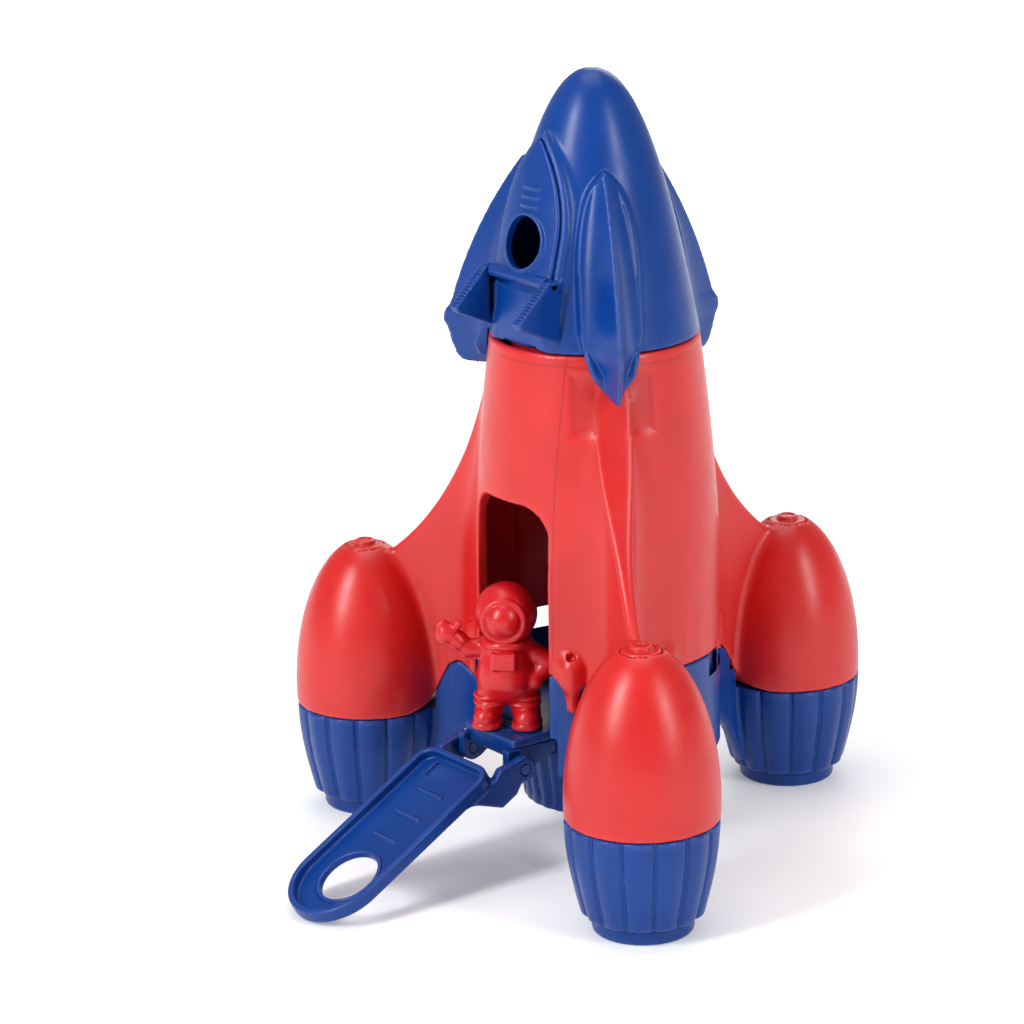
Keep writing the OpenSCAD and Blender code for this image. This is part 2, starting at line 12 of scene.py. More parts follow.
import bpy
import numpy as np
from mathutils import Euler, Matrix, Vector


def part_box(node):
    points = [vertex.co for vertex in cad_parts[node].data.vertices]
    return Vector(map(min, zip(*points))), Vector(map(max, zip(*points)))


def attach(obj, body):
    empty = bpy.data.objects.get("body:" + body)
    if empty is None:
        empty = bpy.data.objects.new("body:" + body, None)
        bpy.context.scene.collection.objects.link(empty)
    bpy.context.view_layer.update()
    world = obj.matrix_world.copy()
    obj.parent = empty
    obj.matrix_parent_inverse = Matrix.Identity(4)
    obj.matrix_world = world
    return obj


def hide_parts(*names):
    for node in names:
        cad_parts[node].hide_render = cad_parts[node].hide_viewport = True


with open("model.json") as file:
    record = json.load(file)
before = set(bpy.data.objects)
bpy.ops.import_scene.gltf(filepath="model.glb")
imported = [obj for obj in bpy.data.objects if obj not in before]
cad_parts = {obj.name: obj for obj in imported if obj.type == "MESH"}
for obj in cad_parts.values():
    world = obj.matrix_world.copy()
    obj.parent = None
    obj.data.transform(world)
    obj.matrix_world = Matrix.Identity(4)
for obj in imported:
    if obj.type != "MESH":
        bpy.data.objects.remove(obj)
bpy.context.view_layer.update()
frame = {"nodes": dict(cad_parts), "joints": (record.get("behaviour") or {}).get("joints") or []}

MM = 0.001


# ------------------------------------------------------------------ frame


def box_mm(node):
    """Lowest and highest corner of a CAD node, in millimetres."""
    low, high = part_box(node)
    return np.array(low) / MM, np.array(high) / MM


def joint_mm(name):
    """Position of a joint, in millimetres."""
    joint = next(j for j in frame["joints"] if j["name"] == name)
    return np.array(joint["pos_m"]) / MM


def middle(node):
    low, high = box_mm(node)
    return (low + high) / 2


WALL = 2.4  # thickness of the mouldings
PANEL_TURN = math.radians(14.5)  # from a leg's tip to the middle of the sunk panels beside it
PANEL_HALF_TURN = math.radians(6.5)
PANEL_Z = 162.5
PANEL_HALF_H = 9.5
PANEL_DEEP = 0.55
PANEL_SLOPE_W = 2.2  # width of the slope round a sunk panel
DOOR_LINE_X = 20.7  # joint lines run up the hull this far to either side of the doorway's middle
JAMB_Y = -32.2  # back edge of the doorway's flange and jambs
SEAM = 0.08  # half the gap that shows between two mouldings
BOOSTER_R = middle("pod_cap_back")[1]
SEAM_Z = box_mm("pod_back")[0][2]
HULL_LOW_Z = box_mm("hull_lower")[0][2]
HULL_TOP_Z = box_mm("hull_upper")[1][2]
HULL_R = box_mm("hull_lower")[1][0]
HULL_BEND_Z = 100
HULL_TOP_R = 35.2
DOOR_HALF_W = 18.8
DOOR_TOP_Z = 127.2
DOOR_CORNER_R = 11
DECK_Z = box_mm("deck")[1][2]
DECK_T = 3.0
DECK_LOW_Z = DECK_Z - DECK_T


# ------------------------------------------------------------------ fields


def soft_min(a, b, k):
    """Union of two fields with a fillet about k wide."""
    h = np.clip(0.5 + 0.5 * (b - a) / k, 0, 1)
    return b + (a - b) * h - k * h * (1 - h)


def soft_max(a, b, k):
    """Intersection of two fields with an edge rounded over about k."""
    return -soft_min(-a, -b, k)


def cut(a, b, k=0.6):
    """Field a with field b taken away."""
    return soft_max(a, -b, k)


def ball(x, y, z, centre, r):
    return np.sqrt((x - centre[0]) ** 2 + (y - centre[1]) ** 2 + (z - centre[2]) ** 2) - r


def capsule(x, y, z, a, b, ra, rb):
    """A round-ended rod from a to b, whose radius runs from ra to rb."""
    ab = np.subtract(b, a)
    t = ((x - a[0]) * ab[0] + (y - a[1]) * ab[1] + (z - a[2]) * ab[2]) / float(ab @ ab)
    t = np.clip(t, 0, 1)
    off = ball(x - a[0] - ab[0] * t, y - a[1] - ab[1] * t, z - a[2] - ab[2] * t, (0, 0, 0), 0)
    return off - ra - (rb - ra) * t


def brick(x, y, z, low, high, r=0.0):
    """A box with edges rounded to radius r."""
    c = np.add(low, high) / 2
    h = np.subtract(high, low) / 2 - r
    q = [np.abs(x - c[0]) - h[0], np.abs(y - c[1]) - h[1], np.abs(z - c[2]) - h[2]]
    outside = np.sqrt(sum(np.maximum(v, 0) ** 2 for v in q))
    return outside + np.minimum(np.maximum(np.maximum(q[0], q[1]), q[2]), 0) - r


def brick2(x, y, half_x, half_y, r=0.0):
    """A flat rectangle about the origin with corners of radius r."""
    qx = np.abs(x) - half_x + r
    qy = np.abs(y) - half_y + r
    return np.hypot(np.maximum(qx, 0), np.maximum(qy, 0)) + np.minimum(np.maximum(qx, qy), 0) - r


def outline(x, y, points):
    """Distance to a closed outline, negative inside it."""
    points = [np.array(p, float) for p in points]
    nearest = np.full(np.shape(x), np.inf)
    inside = np.zeros(np.shape(x), bool)
    for a, b in zip(points, points[1:] + points[:1]):
        e = b - a
        t = np.clip(((x - a[0]) * e[0] + (y - a[1]) * e[1]) / float(e @ e), 0, 1)
        nearest = np.minimum(nearest, (x - a[0] - e[0] * t) ** 2 + (y - a[1] - e[1] * t) ** 2)
        if a[1] != b[1]:
            crosses = (a[1] > y) != (b[1] > y)
            inside ^= crosses & (x < a[0] + e[0] * (y - a[1]) / e[1])
    return np.where(inside, -1, 1) * np.sqrt(nearest)


def bend(a, b, c, n=24):
    """Points along the curve from a, pulled by b, to c."""
    t = np.linspace(0, 1, n + 1)[:, None]
    return np.array(a) * (1 - t) ** 2 + 2 * np.array(b) * t * (1 - t) + np.array(c) * t * t


def booster_turn(x, y):
    """Angle from the nearest booster's direction."""
    turn = np.arctan2(x, -y) - math.radians(60)
    return turn - math.radians(120) * np.round(turn / math.radians(120))


def beside(x, y):
    """Folds the plane on to the nearest booster: distance out along its direction, and off to its side."""
    turn = booster_turn(x, y)
    rho = np.hypot(x, y)
    return rho * np.cos(turn), rho * np.sin(turn)


# ------------------------------------------------------------------ meshing

BLOCK = 8  # grid cells along a block's side


def gradient(field, p, step):
    """The field's slope at each point of p."""
    g = np.empty_like(p)
    for axis in range(3):
        move = np.zeros(3)
        move[axis] = step
        g[:, axis] = (field(*(p + move).T) - field(*(p - move).T)) / (2 * step)
    return g


def settle(field, p, cell, rounds):
    """Moves points on to the surface where the field is zero."""
    for _ in range(rounds):
        g = gradient(field, p, cell * 0.05)
        d = field(*p.T)
        move = g * (d / np.maximum((g * g).sum(1), 0.05))[:, None]
        size = np.linalg.norm(move, axis=1, keepdims=True)
        p = p - move * np.minimum(1, 0.5 * cell / np.maximum(size, 1e-9))
    return p


def surface_nets(field, low, high, cell):
    """Vertices and quads of the field's zero surface, from the grid blocks that it passes through."""
    low = np.array(low, float) - 1.37 * cell
    side = cell * BLOCK
    counts = np.ceil((np.array(high, float) + 1.5 * cell - low) / side).astype(int)
    blocks = np.indices(counts).reshape(3, -1).T
    at = low + (blocks + 0.5) * side
    blocks = blocks[np.abs(field(*at.T)) < side * 1.15]
    corner = np.indices((BLOCK + 1,) * 3).reshape(3, -1).T
    p = low + (blocks[:, None, :] * BLOCK + corner[None]) * cell
    v = field(p[..., 0], p[..., 1], p[..., 2]).reshape((-1,) + (BLOCK + 1,) * 3)
    v = np.where(np.abs(v) < 1e-7, 1e-7, v)
    c = BLOCK
    corners = [(i, j, k) for i in (0, 1) for j in (0, 1) for k in (0, 1)]
    at_corner = {(i, j, k): v[:, i : i + c, j : j + c, k : k + c] for i, j, k in corners}
    below = sum((w < 0).astype(np.int8) for w in at_corner.values())
    active = (below > 0) & (below < 8)
    block, i, j, k = np.nonzero(active)
    cell_at = blocks[block] * BLOCK + np.stack([i, j, k], 1)
    values = {o: w[active] for o, w in at_corner.items()}
    total = np.zeros((len(cell_at), 3))
    crossings = np.zeros(len(cell_at))
    for o in at_corner:
        for axis in range(3):
            if o[axis]:
                continue
            far = tuple(1 if a == axis else o[a] for a in range(3))
            a, b = values[o], values[far]
            hit = (a < 0) != (b < 0)
            t = np.where(hit, a / np.where(hit, a - b, 1), 0)
            place = np.array(o, float)[None] + t[:, None] * np.eye(3)[axis][None]
            total += place * hit[:, None]
            crossings += hit
    verts = low + (cell_at + total / crossings[:, None]) * cell
    span = counts * BLOCK + 2
    key = (cell_at[:, 0] * span[1] + cell_at[:, 1]) * span[2] + cell_at[:, 2]
    order = np.argsort(key)
    key_sorted = key[order]
    quads = []
    for axis in range(3):
        b, c2 = (axis + 1) % 3, (axis + 2) % 3
        far = tuple(int(a == axis) for a in range(3))
        v0, v1 = values[(0, 0, 0)], values[far]
        crossing = np.nonzero((v0 < 0) != (v1 < 0))[0]
        ring = []
        for db, dc in ((1, 1), (0, 1), (0, 0), (1, 0)):
            other = cell_at[crossing].copy()
            other[:, b] -= db
            other[:, c2] -= dc
            k2 = (other[:, 0] * span[1] + other[:, 1]) * span[2] + other[:, 2]
            slot = np.clip(np.searchsorted(key_sorted, k2), 0, len(key_sorted) - 1)
            ring.append(np.where(key_sorted[slot] == k2, order[slot], -1))
        quad = np.stack(ring, 1)
        outward = v0[crossing] < 0
        quad = np.where(outward[:, None], quad, quad[:, ::-1])
        quads.append(quad[(quad >= 0).all(1)])
    return verts, np.concatenate(quads)


def mesh_from(name, verts, faces):
    mesh = bpy.data.meshes.new(name)
    side = faces.shape[1]
    mesh.vertices.add(len(verts))
    mesh.vertices.foreach_set("co", np.ascontiguousarray(verts, np.float32).ravel())
    mesh.loops.add(faces.size)
    mesh.loops.foreach_set("vertex_index", np.ascontiguousarray(faces, np.int32).ravel())
    mesh.polygons.add(len(faces))
    mesh.polygons.foreach_set("loop_start", np.arange(0, faces.size, side, dtype=np.int32))
    mesh.update()
    mesh.validate()
    return mesh


def surface_of(name, field, low, high, cell, material, keep=0.5):
    """An object whose mesh is the field's surface: keep is the share of the grid's triangles that stays."""
    verts, quads = surface_nets(field, low, high, cell)
    verts = settle(field, verts, cell, 2)
    piece = bpy.data.objects.new(name, mesh_from(name, verts, quads))
    bpy.context.scene.collection.objects.link(piece)
    thin = piece.modifiers.new("thin", "DECIMATE")
    thin.ratio = keep
    bpy.context.view_layer.update()
    lean = bpy.data.meshes.new_from_object(piece.evaluated_get(bpy.context.evaluated_depsgraph_get()))
    piece.modifiers.clear()
    piece.data = lean
    lean.name = name
    count = len(lean.vertices)
    co = np.empty(count * 3, np.float32)
    lean.vertices.foreach_get("co", co)
    p = settle(field, co.reshape(-1, 3).astype(float), cell, 2)
    normals = gradient(field, p, cell * 0.15)
    normals /= np.maximum(np.linalg.norm(normals, axis=1, keepdims=True), 1e-9)
    lean.vertices.foreach_set("co", (p * MM).astype(np.float32).ravel())
    lean.polygons.foreach_set("use_smooth", np.ones(len(lean.polygons), bool))
    lean.update()
    lean.normals_split_custom_set_from_vertices(normals.astype(np.float32))
    lean.materials.append(material)
    return piece


# ------------------------------------------------------------------ materials


def node_of(tree, kind, **inputs):
    node = tree.nodes.new(kind)
    for name, value in inputs.items():
        socket = node.inputs[name.replace("_", " ")]
        if isinstance(value, bpy.types.NodeSocket):
            tree.links.new(value, socket)
        else:
            socket.default_value = value
    return node


def plastic(name, colour, deep, rough, glow):
    """Moulded plastic: colour with faint flow marks, a fine eggshell grain, soft scuffs and rubbed edges."""
    material = bpy.data.materials.new(name)
    material.use_nodes = True
    tree = material.node_tree
    shader = tree.nodes["Principled BSDF"]
    place = tree.nodes.new("ShaderNodeTexCoord").outputs["Object"]

    flow = node_of(tree, "ShaderNodeTexNoise", Vector=place, Scale=38.0, Detail=4.0, Roughness=0.6)
    flow_ramp = node_of(tree, "ShaderNodeMapRange", Value=flow.outputs["Fac"])
    flow_ramp.inputs["From Min"].default_value = 0.35
    flow_ramp.inputs["From Max"].default_value = 0.7
    tint = tree.nodes.new("ShaderNodeMix")
    tint.data_type = "RGBA"
    tree.links.new(flow_ramp.outputs["Result"], tint.inputs["Factor"])
    tint.inputs["A"].default_value = (*colour, 1)
    tint.inputs["B"].default_value = (*deep, 1)

    speck = node_of(tree, "ShaderNodeTexNoise", Vector=place, Scale=900.0, Detail=2.0, Roughness=0.5)
    rub = node_of(tree, "ShaderNodeTexNoise", Vector=place, Scale=120.0, Detail=6.0, Roughness=0.7)
    pointy = tree.nodes.new("ShaderNodeNewGeometry").outputs["Pointiness"]
    edge = node_of(tree, "ShaderNodeMapRange", Value=pointy)
    edge.inputs["From Min"].default_value = 0.51
    edge.inputs["From Max"].default_value = 0.58
    worn = tree.nodes.new("ShaderNodeMath")
    worn.operation = "MULTIPLY"
    tree.links.new(edge.outputs["Result"], worn.inputs[0])
    tree.links.new(rub.outputs["Fac"], worn.inputs[1])
    pale = tree.nodes.new("ShaderNodeMix")
    pale.data_type = "RGBA"
    tree.links.new(worn.outputs[0], pale.inputs["Factor"])
    tree.links.new(tint.outputs["Result"], pale.inputs["A"])
    pale.inputs["B"].default_value = (*[min(1.0, c * 1.25 + 0.04) for c in colour], 1)
    tree.links.new(pale.outputs["Result"], shader.inputs["Base Color"])

    rough_map = node_of(tree, "ShaderNodeMapRange", Value=rub.outputs["Fac"])
    rough_map.inputs["From Min"].default_value = 0.3
    rough_map.inputs["From Max"].default_value = 0.7
    rough_map.inputs["To Min"].default_value = rough - 0.05
    rough_map.inputs["To Max"].default_value = rough + 0.06
    tree.links.new(rough_map.outputs["Result"], shader.inputs["Roughness"])

    grain = tree.nodes.new("ShaderNodeBump")
    grain.inputs["Strength"].default_value = 0.08
    grain.inputs["Distance"].default_value = 0.0002
    tree.links.new(speck.outputs["Fac"], grain.inputs["Height"])
    wave = tree.nodes.new("ShaderNodeBump")
    wave.inputs["Strength"].default_value = 0.12
    wave.inputs["Distance"].default_value = 0.0006
    tree.links.new(flow.outputs["Fac"], wave.inputs["Height"])
    tree.links.new(grain.outputs["Normal"], wave.inputs["Normal"])
    tree.links.new(wave.outputs["Normal"], shader.inputs["Normal"])

    shader.inputs["Specular IOR Level"].default_value = 0.5
    shader.inputs["Subsurface Weight"].default_value = glow
    shader.inputs["Subsurface Radius"].default_value = (0.004, 0.0012, 0.0012)
    shader.inputs["Subsurface Scale"].default_value = 0.5
    return material


def math_of(tree, operation, *values):
    """The output of a math node fed with sockets or plain numbers."""
    node = tree.nodes.new("ShaderNodeMath")
    node.operation = operation
    for socket, value in zip(node.inputs, values):
        if isinstance(value, bpy.types.NodeSocket):
            tree.links.new(value, socket)
        else:
            socket.default_value = value
    return node.outputs[0]


def add_panel_lines(material):
    """Draws the thin joint lines beside the door panel, and darkens the sunk panels on the hull with painted
    shade.
    """
    tree = material.node_tree
    shader = tree.nodes["Principled BSDF"]
    place = tree.nodes.new("ShaderNodeTexCoord").outputs["Object"]
    split = node_of(tree, "ShaderNodeSeparateXYZ", Vector=place)
    x, y, z = split.outputs
    off = math_of(tree, "ABSOLUTE", math_of(tree, "SUBTRACT", math_of(tree, "ABSOLUTE", x), DOOR_LINE_X * MM))
    line = math_of(tree, "LESS_THAN", off, 0.22 * MM)
    line = math_of(tree, "MULTIPLY", line, math_of(tree, "LESS_THAN", y, -26 * MM))
    line = math_of(tree, "MULTIPLY", line, math_of(tree, "GREATER_THAN", z, (HULL_LOW_Z + 1) * MM))
    rim = math_of(tree, "ABSOLUTE", math_of(tree, "SUBTRACT", z, (HULL_TOP_Z - 3.5) * MM))
    line = math_of(tree, "MAXIMUM", line, math_of(tree, "LESS_THAN", rim, 0.2 * MM))
    turn = math_of(tree, "ARCTAN2", x, math_of(tree, "MULTIPLY", y, -1.0))
    turn = math_of(tree, "PINGPONG", math_of(tree, "ADD", turn, math.radians(60)), math.radians(60))
    turn = math_of(tree, "ABSOLUTE", math_of(tree, "SUBTRACT", turn, PANEL_TURN))
    # painted shade: the sunk panels beside the leg tips are darkened in colour, as the shade in their hollows
    # would darken them
    painted_panel_shade = math_of(tree, "LESS_THAN", turn, PANEL_HALF_TURN)
    tall = math_of(tree, "ABSOLUTE", math_of(tree, "SUBTRACT", z, PANEL_Z * MM))
    painted_panel_shade = math_of(tree, "MULTIPLY", painted_panel_shade, math_of(tree, "LESS_THAN", tall, PANEL_HALF_H * MM))
    # how much to darken: the dark joint lines, plus the painted shade in the sunk panels
    joint_lines_and_painted_shade = math_of(tree, "ADD", math_of(tree, "MULTIPLY", line, 0.55), math_of(tree, "MULTIPLY", painted_panel_shade, 0.22))
    old = shader.inputs["Base Color"].links[0].from_socket
    darker = tree.nodes.new("ShaderNodeMix")
    darker.data_type = "RGBA"
    tree.links.new(joint_lines_and_painted_shade, darker.inputs["Factor"])
    tree.links.new(old, darker.inputs["A"])
    # dark red for the joint lines, and for the painted shade in the sunk panels
    darker.inputs["B"].default_value = (0.22, 0.003, 0.006, 1)
    tree.links.new(darker.outputs["Result"], shader.inputs["Base Color"])


def from_srgb(r, g, b):
    """Linear colour of an 8-bit screen colour."""
    return tuple(((c / 255 + 0.055) / 1.055) ** 2.4 if c > 10 else c / 255 / 12.92 for c in (r, g, b))


RED = plastic("red_plastic", from_srgb(200, 27, 25), from_srgb(188, 20, 19), 0.34, 0.03)
BLUE = plastic("blue_plastic", from_srgb(0, 56, 132), from_srgb(0, 48, 120), 0.32, 0.0)
BLUE.node_tree.nodes["Principled BSDF"].inputs["Specular IOR Level"].default_value = 0.32
add_panel_lines(RED)
CREW = plastic("crew_plastic", from_srgb(198, 16, 26), from_srgb(182, 12, 20), 0.32, 0.03)


# ------------------------------------------------------------------ red moulding

FIN_ROOT_T = 11.6
FIN_EDGE_T = 2.2
FIN_FLARE = 9.0
FIN_LOW_Z = 98
FIN_TOP_Z = 150
FIN_HIGH_T = 3.6
FIN_ROOT = HULL_R - 5
FIN_TOP = bend((BOOSTER_R - 8.9, 93.6), (53, 111.5), (FIN_ROOT, FIN_TOP_Z + 8))[::-1]
FIN_SEAM = [(43, 53), (47, 56), (51, 57.4), (54.5, 55.5), (57.5, 50.5), (60, 45), (63, 40), (66, SEAM_Z)]
POD_BELLY = (25.6, 44, 53.3)  # radius, height of the widest point, half height
SNAP_TURN = math.radians(21)
SNAP_R = 2.6
CAP_R = 6.7
CAP_BOSS_R = 3.7
CAP_LOW_Z, CAP_TOP_Z = box_mm("pod_cap_back")[0][2], box_mm("pod_cap_back")[1][2]


def hull_radius(z):
    rise = np.clip((z - HULL_BEND_Z) / (HULL_TOP_Z - HULL_BEND_Z), 0, 1.2)
    return HULL_R - (HULL_R - HULL_TOP_R) * rise**1.6


def hull_outside(x, y, z):
    return (np.hypot(x, y) - hull_radius(z)) * 0.99


def doorway(x, y, z, grow=0.0):
    """The doorway's opening, a tall rounded arch that runs out through the front."""
    tall = 100
    flat = brick2(x, z - (DOOR_TOP_Z - tall), DOOR_HALF_W + grow, tall + grow, DOOR_CORNER_R + grow)
    return np.maximum(flat, y)


def fin_half(u, z):
    """Half the thickness of a fin at distance u from the axis and height z."""
    flare = (np.maximum(u - FIN_ROOT, 0) / FIN_FLARE) ** 1.2
    plan = FIN_EDGE_T + (FIN_ROOT_T - FIN_EDGE_T) * np.exp(-flare)
    rise = np.clip((z - FIN_LOW_Z) / (FIN_TOP_Z - FIN_LOW_Z), 0, 1.2)
    front = FIN_ROOT_T - (FIN_ROOT_T - FIN_HIGH_T) * rise
    return soft_min(plan, front, 4.0)


def fin_seam(u):
    return np.interp(u, [p[0] for p in FIN_SEAM], [p[1] for p in FIN_SEAM])


def split_z(u, rho):
    """Height at which the red moulding ends and the blue base begins."""
    return np.where(rho < HULL_R + 0.2, HULL_LOW_Z, fin_seam(u))


def fin(u, v, z):
    side = np.abs(v) - fin_half(u, z)
    top = (z - np.interp(u, FIN_TOP[:, 0], FIN_TOP[:, 1])) * 0.72
    return np.maximum(soft_max(side * 0.9, top, 2.4), u - BOOSTER_R)


def pod(u, v, z):
    belly, mid, half = POD_BELLY
    q = np.hypot(u - BOOSTER_R, v)
    k0 = np.sqrt((q / belly) ** 2 + ((z - mid) / half) ** 2)
    k1 = np.sqrt((q / belly**2) ** 2 + ((z - mid) / half**2) ** 2)
    egg = k0 * (k0 - 1) / np.maximum(k1, 1e-6)
    return cut(egg, np.maximum(q - CAP_R - 0.12, CAP_LOW_Z - z), 0.5)


def pod_cap(x, y, z):
    """A disc with a small boss that plugs the top of a pod."""
    u, v = beside(x, y)
    q = np.hypot(u - BOOSTER_R, v)
    disc = soft_max(q - CAP_R, z - CAP_TOP_Z + 1.5, 1.2)
    boss = soft_max(q - CAP_BOSS_R, z - CAP_TOP_Z, 1.0)
    dish = soft_max(q - CAP_BOSS_R + 1.6, CAP_TOP_Z - 0.5 - z, 0.3)
    return np.maximum(cut(soft_min(disc, boss, 0.5), dish, 0.3), CAP_LOW_Z - z)


def snap_boss(x, y, z):
    """Half-round columns on the hull beside each fin, and the pockets in their tops."""
    off = np.abs(booster_turn(x, y)) - SNAP_TURN
    rho = np.hypot(x, y)
    u, v = rho * np.cos(off) - HULL_R - 0.7, rho * np.sin(off)
    column = capsule(u, v, z, (0, 0, 60), (0, 0, 73), 2.1, SNAP_R)
    pocket = ball(u, v, z, (0.4, 0, 77.4), 1.5)
    return column, pocket


def sunk_panels(x, y, z):
    """How far the hull's skin is sunk in the panels beside the leg tips."""
    wide = (np.abs(np.abs(booster_turn(x, y)) - PANEL_TURN) - PANEL_HALF_TURN) * HULL_TOP_R
    edge = np.maximum(wide, np.abs(z - PANEL_Z) - PANEL_HALF_H)
    return PANEL_DEEP * np.clip(0.5 - edge / PANEL_SLOPE_W, 0, 1)


def red_moulding(x, y, z):
    u, v = beside(x, y)
    rho = np.hypot(x, y)
    outside = hull_outside(x, y, z)
    shell = soft_max(outside + sunk_panels(x, y, z), -(outside + WALL), 0.5)
    opening = doorway(x, y, z)
    flange = np.maximum(np.maximum(opening - WALL, outside), y - JAMB_Y)
    shell = np.minimum(shell, flange)
    shell = soft_max(shell, HULL_LOW_Z + SEAM - z, 0.8)
    shell = soft_max(shell, z - HULL_TOP_Z, 0.8)
    column, pocket = snap_boss(x, y, z)
    wing = np.maximum(fin(u, v, z), HULL_R - 0.8 - rho)
    wing = soft_min(wing, column, 1.5)
    body = soft_min(shell, wing, 8.0)
    body = soft_min(body, pod(u, v, z), 3.0)
    body = cut(body, pocket, 0.5)
    body = cut(body, opening, 1.2)
    return soft_max(body, (split_z(u, rho) + SEAM - z) * 0.8, 0.6)


red = surface_of(
    "red_moulding",
    red_moulding,
    (box_mm("pod_left")[0][0], box_mm("pod_right")[0][1], SEAM_Z),
    (box_mm("pod_right")[1][0], box_mm("pod_back")[1][1], HULL_TOP_Z),
    1.0,
    RED,
    0.4,
)
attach(red, "root")
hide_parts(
    "hull_lower",
    "hull_upper",
    "fin_right",
    "fin_left",
    "fin_back",
    "pod_right",
    "pod_left",
    "pod_back",
    "snap_bosses",
)


for side in ("right", "left", "back"):
    node = "pod_cap_" + side
    cap = surface_of(node + "_disc", pod_cap, box_mm(node)[0], box_mm(node)[1], 0.5, RED, 0.5)
    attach(cap, "root")
    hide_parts(node)


# ------------------------------------------------------------------ blue base

CUP_LOW_R = 19.9
FOOT_R = 16.8
FOOT_H = 5.6
SEAM_R = 25.4
FLUTES = 14
FLUTE_DEEP = 0.9
ARCH = [(38, 36), (46, 34), (52, 30), (57, 24), (60.5, 17), (64, 10)]
RING_LOW_Z = box_mm("base_ring")[0][2]
RING_IN_R = HULL_R - WALL
BELL_LOW_Z = box_mm("engine_bell")[0][2]
BELL_R = (26.0, 30.0)
BELL_TOP_Z = 38.0
BELL_RIBS = 30


def flute(turn, r, count, width, deep):
    """Depth of narrow grooves spaced round a circle, with faintly bulging lands between them."""
    part = (turn * count / (2 * math.pi) + 0.5) % 1 - 0.5
    off = np.abs(part) * 2 * math.pi * r / count
    return deep * np.exp(-((off / width) ** 2)) + 0.35 * deep * np.cos(2 * math.pi * part)


def cup(u, v, z):
    q = np.hypot(u - BOOSTER_R, v)
    turn = np.arctan2(v, u - BOOSTER_R)
    rise = np.clip((z - FOOT_H) / (SEAM_Z - FOOT_H), 0, 1)
    r = CUP_LOW_R + (SEAM_R - CUP_LOW_R) * np.sin(math.pi / 2 * rise)
    side = (q - r + flute(turn, r, FLUTES, 0.8, FLUTE_DEEP)) * 0.9
    wall = soft_max(side, FOOT_H - z, 1.6)
    foot = soft_max(q - FOOT_R, -z, 1.2)
    foot = soft_max(foot, z - FOOT_H - 4, 0.5)
    step = soft_max(q - FOOT_R - 1.0, np.abs(z - FOOT_H) - 0.9, 0.5)
    body = soft_min(soft_min(wall, foot, 0.8), step, 0.6)
    hollow = soft_max(q - FOOT_R + 3, z - 1.5, 0.5)
    body = cut(body, hollow, 0.6)
    return soft_max(body, z - SEAM_Z + SEAM, 0.8)


def strut(u, v, z):
    side = np.abs(v) - fin_half(u, 0) + 0.05
    over = (z - fin_seam(u) + SEAM) * 0.8
    under = (np.interp(u, [p[0] for p in ARCH], [p[1] for p in ARCH]) - z) * 0.75
    return soft_max(soft_max(side, over, 1.0), under, 2.0)


def base_moulding(x, y, z):
    u, v = beside(x, y)
    rho = np.hypot(x, y)
    tube = soft_max(rho - HULL_R, -(rho - RING_IN_R), 0.5)
    gap = np.maximum(np.abs(x) - DOOR_HALF_W - WALL, y)
    tube = cut(tube, gap, 0.5)
    jamb = np.abs(np.abs(x) - DOOR_HALF_W - WALL / 2) - WALL / 2
    jamb = np.maximum(jamb, np.maximum(y - JAMB_Y, DECK_Z - z))
    jamb = np.maximum(jamb, rho - HULL_R)
    tube = soft_min(tube, jamb, 0.8)
    tube = soft_max(tube, RING_LOW_Z - z, 0.8)
    wing = np.maximum(strut(u, v, z), HULL_R - 1.5 - rho)
    q = np.hypot(u - BOOSTER_R, v)
    wing = np.maximum(np.maximum(wing, CUP_LOW_R - 3 - q), u - BOOSTER_R)
    body = soft_min(tube, wing, 4.0)
    body = soft_min(body, cup(u, v, z), 1.6)
    top = np.where(q < SEAM_R + 1, SEAM_Z, split_z(u, rho))
    body = soft_max(body, (z - top + SEAM) * 0.8, 0.5)
    return cut(body, np.maximum(rho - RING_IN_R, -z), 0.3)


base = surface_of(
    "base_moulding",
    base_moulding,
    (box_mm("cup_left")[0][0], box_mm("cup_right")[0][1], 0),
    (box_mm("cup_right")[1][0], box_mm("cup_back")[1][1], HULL_LOW_Z),
    1.0,
    BLUE,
    0.45,
)
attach(base, "root")
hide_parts("base_ring", "strut_right", "strut_left", "strut_back", "cup_right", "cup_left", "cup_back")


def engine_bell(x, y, z):
    rho = np.hypot(x, y)
    turn = np.arctan2(x, -y)
    r = np.interp(z, [BELL_LOW_Z, BELL_TOP_Z], BELL_R)
    side = rho - r + flute(turn, r, BELL_RIBS, 0.7, 0.6)
    band = soft_max(rho - BELL_R[0] - 0.2, np.abs(z - BELL_LOW_Z - 1.5) - 1.5, 0.6)
    body = soft_min(soft_max(side, z - BELL_TOP_Z - 0.2, 0.8), band, 0.8)
    collar = np.maximum(rho - BELL_R[1] + 0.2, BELL_TOP_Z - z)
    body = soft_min(body, soft_max(collar, z - DECK_LOW_Z + 0.05, 0.8), 1.0)
    body = soft_max(body, BELL_LOW_Z - z, 0.8)
    return cut(body, soft_max(rho - BELL_R[0] + WALL, z - BELL_LOW_Z - 3, 1.0), 0.8)


bell = surface_of(
    "engine_bell_ribbed", engine_bell, box_mm("engine_bell")[0], box_mm("engine_bell")[1], 1.0, BLUE, 0.5
)
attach(bell, "root")
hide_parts("engine_bell")

TONGUE_HALF_W = 13.8
TONGUE_OUT = -box_mm("deck")[0][1]
SKIRT_HALF_W, SKIRT_T, SKIRT_H = 10.5, 2, 3.6
PIN = joint_mm("ramp_hinge")
PIN_OUT, PIN_Z = -PIN[1], PIN[2]
PIN_R = (box_mm("ramp_pins")[1][2] - box_mm("ramp_pins")[0][2]) / 2


